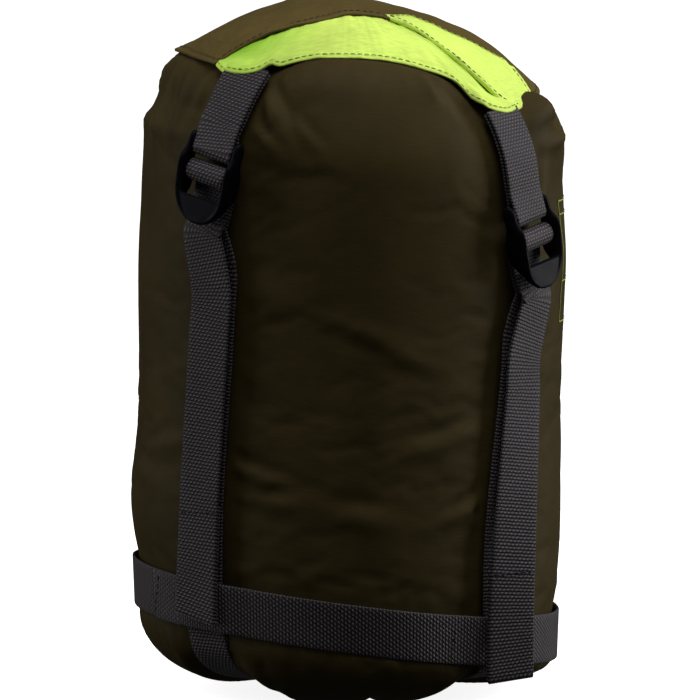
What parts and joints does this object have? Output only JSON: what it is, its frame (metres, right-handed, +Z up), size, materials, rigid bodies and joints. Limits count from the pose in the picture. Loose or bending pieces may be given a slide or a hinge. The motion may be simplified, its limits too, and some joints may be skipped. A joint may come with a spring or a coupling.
{
  "type": "compression stuff sack",
  "caption": "Packed cylindrical compression stuff sack with a strapped-down cap, compression webbing through ladderlock buckles and a webbing ring round the base.",
  "frame": {"origin": "on the floor at the centre of the base", "axes": "+Z up along the sack, front (the side with the bright gusset) towards -Y, +X to the right seen from the front"},
  "size_m": [0.2226, 0.2226, 0.3502],
  "materials": {
    "filling": "soft, never seen",
    "olive_fabric": "dark olive-brown taffeta, slight sheen",
    "olive_satin": "olive-brown satin, soft sheen",
    "lime_fabric": "lime taffeta",
    "webbing": "charcoal woven webbing",
    "cord": "black braided cord",
    "black_plastic": "satin black moulded acetal",
    "spring_steel": "bright spring wire"
  },
  "bodies": {
    "sack": {"packed_filling": "filling", "body_panel": "olive_fabric", "base_panel": "olive_fabric", "mouth_hem": "olive_fabric", "drawcord": "cord", "cord_lock_barrel": "black_plastic", "cord_lock_spring": "spring_steel", "base_ring_webbing": "webbing", "compression_webbing_a": "webbing", "compression_webbing_b": "webbing"},
    "lock_button": {"cord_lock_plunger": "black_plastic"},
    "cap": {"cap_top_panel": "olive_satin", "cap_front_gusset": "lime_fabric", "cap_rear_gusset": "lime_fabric", "cap_patch": "lime_fabric", "upper_strap_front_left": "webbing", "upper_strap_front_right": "webbing", "upper_strap_rear_right": "webbing", "upper_strap_rear_left": "webbing"},
    "buckle_front_left": {"buckle_front_left": "black_plastic", "webbing_wrap_front_left": "webbing"},
    "tail_front_left": {"webbing_tail_front_left": "webbing"},
    "buckle_front_right": {"buckle_front_right": "black_plastic", "webbing_wrap_front_right": "webbing"},
    "tail_front_right": {"webbing_tail_front_right": "webbing"},
    "buckle_rear_right": {"buckle_rear_right": "black_plastic", "webbing_wrap_rear_right": "webbing"},
    "tail_rear_right": {"webbing_tail_rear_right": "webbing"},
    "buckle_rear_left": {"buckle_rear_left": "black_plastic", "webbing_wrap_rear_left": "webbing"},
    "tail_rear_left": {"webbing_tail_rear_left": "webbing"}
  },
  "joints": [
    {"name": "cap_lift", "type": "slide", "parent": "sack", "child": "cap", "axis": [0, 0, 1], "range_m": [0, 0.06]},
    {"name": "lock_press", "type": "slide", "parent": "sack", "child": "lock_button", "axis": [-1, 0, 0], "range_m": [0, 0.003], "stiffness_N_per_m": 500, "springref_m": -0.002, "deforming": ["cord_lock_spring"]},
    {"name": "buckle_tip_front_left", "type": "hinge", "parent": "cap", "child": "buckle_front_left", "pos_m": [-0.0688, -0.08805, 0.28181], "axis": [-0.788, 0.6157, 0], "range_deg": [0, 35]},
    {"name": "tail_swing_front_left", "type": "hinge", "parent": "buckle_front_left", "child": "tail_front_left", "pos_m": [-0.06818, -0.08727, 0.24231], "axis": [-0.788, 0.6157, 0], "range_deg": [0, 60]},
    {"name": "buckle_tip_front_right", "type": "hinge", "parent": "cap", "child": "buckle_front_right", "pos_m": [0.08929, -0.06728, 0.24684], "axis": [-0.6018, -0.7986, 0], "range_deg": [0, 35]},
    {"name": "tail_swing_front_right", "type": "hinge", "parent": "buckle_front_right", "child": "tail_front_right", "pos_m": [0.08849, -0.06668, 0.20734], "axis": [-0.6018, -0.7986, 0], "range_deg": [0, 60]},
    {"name": "buckle_tip_rear_right", "type": "hinge", "parent": "cap", "child": "buckle_rear_right", "pos_m": [0.07335, 0.08438, 0.25683], "axis": [0.7547, -0.6561, 0], "range_deg": [0, 35]},
    {"name": "tail_swing_rear_right", "type": "hinge", "parent": "buckle_rear_right", "child": "tail_rear_right", "pos_m": [0.07269, 0.08362, 0.21733], "axis": [0.7547, -0.6561, 0], "range_deg": [0, 60]},
    {"name": "buckle_tip_rear_left", "type": "hinge", "parent": "cap", "child": "buckle_rear_left", "pos_m": [-0.08564, 0.07186, 0.2767], "axis": [0.6428, 0.766, 0], "range_deg": [0, 35]},
    {"name": "tail_swing_rear_left", "type": "hinge", "parent": "buckle_rear_left", "child": "tail_rear_left", "pos_m": [-0.08488, 0.07122, 0.2372], "axis": [0.6428, 0.766, 0], "range_deg": [0, 60]}
  ]
}
